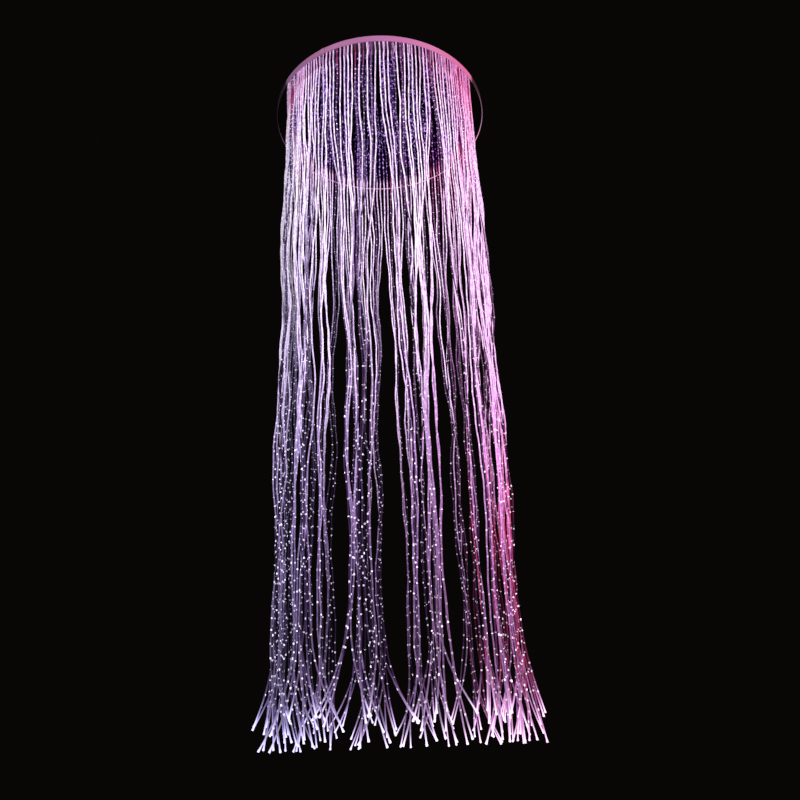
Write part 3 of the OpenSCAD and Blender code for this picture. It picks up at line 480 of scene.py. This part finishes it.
def strand_route(j, k, shares):
    """Points down a strand, in its bunch's frame: x outward, y along the circle."""
    root_x, root_y = root_of(j)
    clump = clump_of(j, k)
    mates = [root_of(i)[1] for i in range(FIBRES) if clump_of(i, k) == clump]
    middle = sum(mates) / len(mates)
    root_pitch = FIBRE_CIRCLE * math.sin(math.radians(360 / BUNCHES / FIBRES))
    gather = ease(shares / GATHERED_AT)
    fan = np.maximum(0, (shares - FAN_FROM) / (1 - FAN_FROM)) ** 2
    stray = np.maximum(0, (shares - STRAY_FROM) / (1 - STRAY_FROM)) ** 2
    x = root_x + CLUMP_DEPTH * scatter(3 * j + k) * gather
    x = x + TIP_SPLAY * (SPLAY_SHARE + SPLAY_VARY * scatter(7 * j + 3 * k)) * fan
    drawn = middle * (1 - BUNCH_DRAW * ease(shares / DRAWN_AT))
    drift = CLUMP_SHIFT * scatter(11 * clump + 5 * k) * gather
    beside = (root_y - middle) * (1 - (1 - CLUMP_PITCH / root_pitch) * gather)
    hung = drawn + drift + beside
    y = hung + (TIP_OPEN * root_y - hung) * fan
    z = ROOT_Z - shares * (FIBRE_LEN + FIBRE_VARY * scatter(5 * j + 9 * k))
    together = dice_for(CLUMP_SEED, k, clump)
    alone = dice_for(WAVE_SEED, k, j)
    swell = np.sin(math.pi * np.clip(shares, 0, 1)) ** 0.5
    waves = [(together, CLUMP_WAVE)] + [(alone, wave) for wave in OWN_WAVES]
    for dice, (reach_x, reach_y, turns) in waves:
        start_x, start_y = dice.uniform(0, FULL_TURN), dice.uniform(0, FULL_TURN)
        count = turns * dice.uniform(*WAVE_VARY)
        x = x + reach_x * swell * np.sin(FULL_TURN * count * shares + start_x)
        y = y + reach_y * swell * np.sin(FULL_TURN * count * shares + start_y)
    y = y + STRAY * alone.uniform(*STRAY_ALONG) * stray
    x = x + STRAY * alone.uniform(*STRAY_OUT) * stray
    return np.stack([x, y, z], axis=1)


# Light of the strands. A curve holds places, and what is read off at each of them.
LIT_SHARE = 0.80
LONG_SHARE = ([-0.5, 0.2], [0.80, 0.36])
# Light given off down a strand that stays lit for long, or fades soon
GLOW_PLACES = [0.0, 0.05, 0.12, 0.2, 0.3, 0.4, 0.5, 0.6, 0.7, 0.8, 0.9, 0.955, 0.985, 0.995, 1.0]
LONG_GLOW = [
    0.95, 0.95, 1.00, 1.00, 1.00, 1.00, 0.97, 0.74, 0.48, 0.30, 0.18, 0.20, 0.40, 0.9, 1.0,
]
SOON_GLOW = [
    0.95, 0.92, 0.92, 0.84, 0.52, 0.28, 0.15, 0.09, 0.06, 0.05, 0.05, 0.12, 0.36, 0.9, 1.0,
]
LIT_GAINS = (0.8, 1.1)
UNLIT_GAINS = (0.08, 0.3)
EDGE_GAIN = ([-0.95, -0.75], [0.75, 1.0])
EARLY = (-0.1, 0.08)
FAR_EARLY = 0.12
END_FROM = 0.92
END_OVER = 0.07
ROOT_REACH = ([0.3, 0.9], [0.09, 0.17])
ROOT_GLOW = 0.3
# Strands at the rear are dimmer in their lower halves
FAR_FULL = 0.3
FAR_SPAN = (0.4, 0.6)
FAR_DIM = 0.55
FAR_NOTCH_DIM = 0.45
# Strands at the right stay brighter further down
RIGHT_FROM = 0.55
RIGHT_GAIN = ([0.5, 0.65], [1.0, 1.45])
# Hues across the curtain, from left to right in the photograph
SIDE_PLACES = [-1.0, -0.5, 0.0, 0.5, 0.85, 1.0]
SIDE_HUES = [
    (0.36, 0.25, 0.82), (0.40, 0.16, 0.74), (0.50, 0.14, 0.72),
    (0.64, 0.13, 0.70), (0.80, 0.14, 0.72), (0.84, 0.15, 0.70),
]
HUE_VARY = 0.15
# How white the light is, and the white of tips and notches at left, middle and right
WHITE = np.array([1.00, 0.87, 1.00])
WHITENESS = (
    [0.0, 0.08, 0.25, 0.5, 0.65, 0.8, 0.95, 0.985, 1.0],
    [0.60, 0.78, 0.78, 0.61, 0.36, 0.27, 0.35, 0.55, 0.95],
)
SOON_WHITE = ([0.15, 0.4, 0.9, 1.0], [1.0, 0.4, 0.4, 1.0])
LIT_PALES = (0.85, 1.2)
UNLIT_PALES = (0.0, 0.4)
RIGHT_TINT_FROM = 0.4
RIGHT_TINT = 0.4
LEFT_TO_RIGHT = [-1, 0, 1]
TIP_WHITES = ((0.66, 0.64, 1.00), (0.86, 0.77, 1.00), (1.00, 0.80, 0.98))
NOTCH_TINTS = ((0.86, 0.80, 1.00), (0.95, 0.82, 1.00), (1.00, 0.72, 0.92))
# Greyer tops at the far left, redder lower halves at the right, and red roots
MOST_TURNED = 0.9
LEFT_GREY = np.array([0.66, 0.61, 0.72])
GREY_SIDE = -0.93
GREY_SPAN = (0.5, 0.3)
LATE_RED = np.array([0.80, 0.06, 0.20])
LATE_SIDE = 0.6
LATE_SHARE = 0.5
LATE_SPAN = (0.55, 0.75)
ROOT_RED = np.array([0.86, 0.06, 0.24])
ROOT_REDNESS = ([-1.0, -0.4, 0.25, 0.95], [0.3, 0.1, 0.05, 0.65])
RED_VARY = (0.5, 1.2)
UNLIT_RED = (0.2, 0.9)
# How steady the light is, between leaking in dashes at 0 and a plain glow at 1
STEADINESS = ([0.0, 0.07, 0.14, 0.34], [0.7, 0.0, 0.0, 0.4])


def climb(value, low, high):
    """From 0 at the low value to 1 at the high one."""
    return np.clip((value - low) / (high - low), 0, 1)


def colour_at(place, places, colours):
    """The colour at a place among others, channel by channel."""
    return np.array([np.interp(place, places, channel) for channel in zip(*colours)])


def toward(colour, other, share):
    """A colour part of the way to another, for each point down a strand."""
    return colour + (other - colour) * share[:, None]


def farness(depth, share):
    return climb(depth, 0, FAR_FULL) * climb(share, *FAR_SPAN)


def strand_nature(j, k):
    """Where a strand is, if it is lit and for long, and the dice for the rest of its light."""
    dice = dice_for(LIGHT_SEED, k, j)
    side, depth = root_place(j, k)
    lit = dice.random() < LIT_SHARE
    long = lit and dice.random() < np.interp(depth, *LONG_SHARE)
    return side, depth, lit, long, dice


def strand_colours(j, k, shares):
    """Light given off along one strand: its colour, and how steady it is."""
    side, depth, lit, long, dice = strand_nature(j, k)
    hue = colour_at(side + dice.uniform(-HUE_VARY, HUE_VARY), SIDE_PLACES, SIDE_HUES)
    gain = dice.uniform(*(LIT_GAINS if lit else UNLIT_GAINS)) * np.interp(side, *EDGE_GAIN)
    pale = dice.uniform(*(LIT_PALES if lit else UNLIT_PALES))
    early = 0 if long else dice.uniform(*EARLY) + FAR_EARLY * max(0.0, depth)
    end = ease((shares - END_FROM) / END_OVER)
    root = np.clip(1 - shares / np.interp(side, *ROOT_REACH), 0, 1)

    slid = shares + early * np.sin(math.pi * shares)
    level = np.interp(slid, GLOW_PLACES, LONG_GLOW if long else SOON_GLOW)
    level = np.maximum(level * (gain + (1 - gain) * end), ROOT_GLOW * root)
    level = level * (1 - FAR_DIM * farness(depth, shares) * (1 - end))
    if side > RIGHT_FROM:
        level = np.minimum(level * np.interp(shares, *RIGHT_GAIN), 1)

    white = np.clip(np.interp(shares, *WHITENESS) * (pale + (1 - pale) * end), 0, 1)
    white = white * (1 - RIGHT_TINT * max(0.0, side - RIGHT_TINT_FROM))
    if not long:
        white = white * np.interp(shares, *SOON_WHITE)
    whitened = toward(WHITE, colour_at(side, LEFT_TO_RIGHT, TIP_WHITES), end)
    colour = toward(hue, whitened, white)
    if side < GREY_SIDE:
        colour = toward(colour, LEFT_GREY, MOST_TURNED * climb(shares, *GREY_SPAN))
    if side > LATE_SIDE and dice.random() < LATE_SHARE:
        colour = toward(colour, LATE_RED, MOST_TURNED * climb(shares, *LATE_SPAN) * (1 - end))
    red = np.interp(side, *ROOT_REDNESS) * dice.uniform(*RED_VARY)
    red += 0 if lit else dice.uniform(*UNLIT_RED)
    colour = toward(colour, ROOT_RED, min(red, MOST_TURNED) * root)

    steady = np.maximum(end, np.interp(shares, *STEADINESS))
    return np.hstack([np.clip(colour * level[:, None], 0, 1), steady[:, None]])


def mesh_piece(name, points, faces, material, smooth=True):
    """A new mesh object from plain lists."""
    mesh = bpy.data.meshes.new(name)
    mesh.from_pydata([tuple(p) for p in points], [], faces)
    mesh.validate()
    mesh.materials.append(material)
    mesh.polygons.foreach_set("use_smooth", [smooth] * len(mesh.polygons))
    piece = bpy.data.objects.new(name, mesh)
    bpy.context.scene.collection.objects.link(piece)
    return piece


def tube(points, radii, sides):
    """Rings round a route that runs downwards, with closed ends."""
    ahead = np.gradient(points, axis=0)
    ahead /= np.linalg.norm(ahead, axis=1)[:, None]
    across = np.cross(ahead, np.array([0.0, 1.0, 0.0]))
    across /= np.linalg.norm(across, axis=1)[:, None]
    up = np.cross(ahead, across)
    turn = np.arange(sides) * 2 * math.pi / sides
    rings = points[:, None] + radii[:, None, None] * (
        np.cos(turn)[None, :, None] * across[:, None] + np.sin(turn)[None, :, None] * up[:, None])
    count = len(points)
    faces = []
    for i in range(count - 1):
        here, below = i * sides, (i + 1) * sides
        for m in range(sides):
            after = (m + 1) % sides
            faces.append((here + m, here + after, below + after, below + m))
    faces.append(tuple(reversed(range(sides))))
    faces.append(tuple(range((count - 1) * sides, count * sides)))
    return rings.reshape(-1, 3), faces


def lit_piece(name, tubes, material):
    """One mesh from tubes of (points, faces, each point's light: colour and steadiness)."""
    points, faces, colours, count = [], [], [], 0
    for rings, quads, light in tubes:
        points.append(rings)
        colours.append(light)
        faces += [tuple(v + count for v in face) for face in quads]
        count += len(rings)
    piece = mesh_piece(name, np.concatenate(points), faces, material)
    glow = piece.data.attributes.new("glow", "FLOAT_COLOR", "POINT")
    glow.data.foreach_set("color", np.concatenate(colours).astype(np.float32).ravel())
    return piece


def strand_shares():
    """Shares of a strand's length at its rings."""
    tip = 1 - TIP_LEN / FIBRE_LEN * TIP_RINGS
    body = np.linspace(0, CLOSER_FROM, BODY_RINGS, endpoint=False)
    fan = np.linspace(CLOSER_FROM, tip[0], FAN_RINGS, endpoint=False)
    return np.concatenate([body, fan, tip])


def strand_radii(shares):
    """The sleeve's radius, swelling at the melted end."""
    tip = np.clip((shares - 1) * FIBRE_LEN / TIP_LEN + 1, 0, 1)
    radii = FIBRE_R * (1 + (TIP_SWELL - 1) * ease(tip))
    radii[-2:] *= TIP_ROUNDING
    return radii


def bunch_strands(k, material):
    """The thirteen glowing strands of one bunch."""
    shares = strand_shares()
    tubes = []
    for j in range(FIBRES):
        route = turned(strand_route(j, k, shares), k)
        rings, quads = tube(route, strand_radii(shares), STRAND_SIDES)
        light = strand_colours(j, k, shares)
        tubes.append((rings, quads, np.repeat(light, STRAND_SIDES, axis=0)))
    return lit_piece(f"strands_{k:02d}", tubes, material)


# Notches: their rings as shares of half their length, that half in metres, and their steps
NOTCH_RINGS = np.array([-1.0, -0.5, 0.5, 1.0])
NOTCH_RADII = FIBRE_R * np.array([0.99, 1.06, 1.06, 0.99])
NOTCH_SIDES = 6
NOTCH_HALF = ([0.3, 0.6], [0.0013, 0.0023])
NOTCH_VARY = (0.7, 1.3)
NOTCH_FIRST = (0.01, 0.04)
NOTCH_LAST = 0.978
NOTCH_STEPS = (0.012, 0.015, 0.018, 0.021, 0.026)
DOTTED_STEP = 0.009
DOTTED_TO = 0.2
STEP_VARY = (0.8, 1.25)
NOTCH_LIGHT = (0.2, 1.0)
NOTCH_GAIN = ([0.15, 0.26, 0.45, 0.6], [1.4, 0.8, 0.7, 1.35])
PLAIN_GLOW = 1.0


def bunch_notches(k, material):
    """Bright notches down the strands of one bunch, at uneven steps."""
    tubes = []
    for j in range(FIBRES):
        dice = dice_for(NOTCH_SEED, k, j)
        side, depth, lit, _, _ = strand_nature(j, k)
        tint = colour_at(side, LEFT_TO_RIGHT, NOTCH_TINTS)
        share = dice.uniform(*NOTCH_FIRST)
        while share < NOTCH_LAST:
            half = np.interp(share, *NOTCH_HALF) / FIBRE_LEN * dice.uniform(*NOTCH_VARY)
            route = turned(strand_route(j, k, share + NOTCH_RINGS * half), k)
            rings, quads = tube(route, NOTCH_RADII, NOTCH_SIDES)
            light = tint * dice.uniform(*NOTCH_LIGHT) * np.interp(share, *NOTCH_GAIN)
            light = light * (1 - FAR_NOTCH_DIM * farness(depth, share))
            tubes.append((rings, quads, np.tile([*light, PLAIN_GLOW], (len(rings), 1))))
            dotted = share < DOTTED_TO and depth < 0 and not lit
            step = DOTTED_STEP if dotted else dice.choice(NOTCH_STEPS)
            share += step * dice.uniform(*STEP_VARY)
    return lit_piece(f"notches_{k:02d}", tubes, material)


def hang_bunches(finish_strand, finish_notch):
    """Every bunch bends out of the mirror's holes; its strands and notches stand in for its part,
    which is hidden.
    """
    for k in range(1, BUNCHES + 1):
        body, node = f"bunch_{k:02d}", f"fibre_bunch_{k:02d}"
        for piece in (bunch_strands(k, finish_strand), bunch_notches(k, finish_notch)):
            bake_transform(piece)
            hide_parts(node)


# Stage

def soft_lamp(name, place, target, power):
    data = bpy.data.lights.new(name, "AREA")
    data.shape = "DISK"
    data.size = LAMP_WIDTH
    data.energy = power
    lamp = bpy.data.objects.new(name, data)
    lamp.location = place
    lamp.rotation_euler = (Vector(target) - Vector(place)).to_track_quat("-Z", "Y").to_euler()
    bpy.context.scene.collection.objects.link(lamp)


def light_studio():
    """Soft even light; eye, mirror and glass rays see a plain dark background."""
    world = bpy.data.worlds.new("studio")
    bpy.context.scene.world = world
    world.use_nodes = True
    world.node_tree.nodes.clear()
    make = Link(world.node_tree)
    eye, mirror, glass = (
        make.node("LightPath", out=f"Is {kind} Ray")
        for kind in ("Camera", "Glossy", "Transmission")
    )
    direct = make.math("MINIMUM", eye + mirror + glass, 1.0)
    soft = make.node("Background", inputs={"Color": SOFT_LIGHT, "Strength": SOFT_STRENGTH})
    dark = make.node("Background", inputs={"Color": BACKGROUND, "Strength": 1.0})
    make.node("OutputWorld", inputs={"Surface": make.mix_shader(direct, soft, dark)})
    for lamp in LAMPS:
        soft_lamp(*lamp)


def lay_floor():
    """A pale round floor that fades into the background."""
    material, shader, make = new_finish("pale_floor", {"Roughness": 0.7})
    place = make.place()
    far = make.node("VectorMath", {"operation": "LENGTH"}, {"Vector": place}, out="Value")
    fade = make.climb(far, *FLOOR_FADE, smooth=True)
    cloud = make.noise(place, scale=3.0, detail=3.0)
    make.mix(cloud, rgb(0.66, 0.66, 0.65), rgb(0.70, 0.70, 0.69)).feed(shader, "Base Color")
    plain = make.node("Emission", inputs={"Color": BACKGROUND, "Strength": 1.0})
    lit = Link(material.node_tree, shader.outputs[0])
    out = material.node_tree.nodes["Material Output"]
    make.mix_shader(fade, lit, plain).feed(out, "Surface")
    turns = [2 * math.pi * i / FLOOR_SIDES for i in range(FLOOR_SIDES)]
    rim = [(FLOOR_R * math.cos(a), FLOOR_R * math.sin(a), 0.0) for a in turns]
    floor = mesh_piece("floor", rim, [tuple(range(FLOOR_SIDES))], material, smooth=False)
    floor.location = (0, 0, FLOOR_Z)


def place_camera():
    """The photograph's view: from below and in front, tilted up, slightly turned and rolled."""
    data = bpy.data.cameras.new("photo_view")
    data.sensor_width = PHOTO_SENSOR
    data.lens = PHOTO_LENS
    camera = bpy.data.objects.new("photo_view", data)
    yaw, pitch, roll = map(math.radians, PHOTO_ANGLES)
    level = math.cos(pitch)
    ahead = Vector((math.sin(yaw) * level, math.cos(yaw) * level, math.sin(pitch)))
    right = ahead.cross(Vector((0, 0, 1))).normalized()
    up = right.cross(ahead)
    c, s = math.cos(roll), math.sin(roll)
    right, up = right * c - up * s, up * c + right * s
    turn = Matrix((right, up, -ahead)).transposed()
    camera.matrix_world = Matrix.Translation(PHOTO_AT) @ turn.to_4x4()
    bpy.context.scene.collection.objects.link(camera)
    bpy.context.scene.camera = camera


place_camera()
light_studio()
lay_floor()
dress_solids(make_finishes())
hang_bunches(
    lit_sleeve("lit_sleeve", rgb(0.014, 0.009, 0.024), rough=0.3),
    lit_sleeve("lit_notch", rgb(0.20, 0.16, 0.26), rough=0.45),
)

bpy.context.scene.view_settings.view_transform = "Standard"
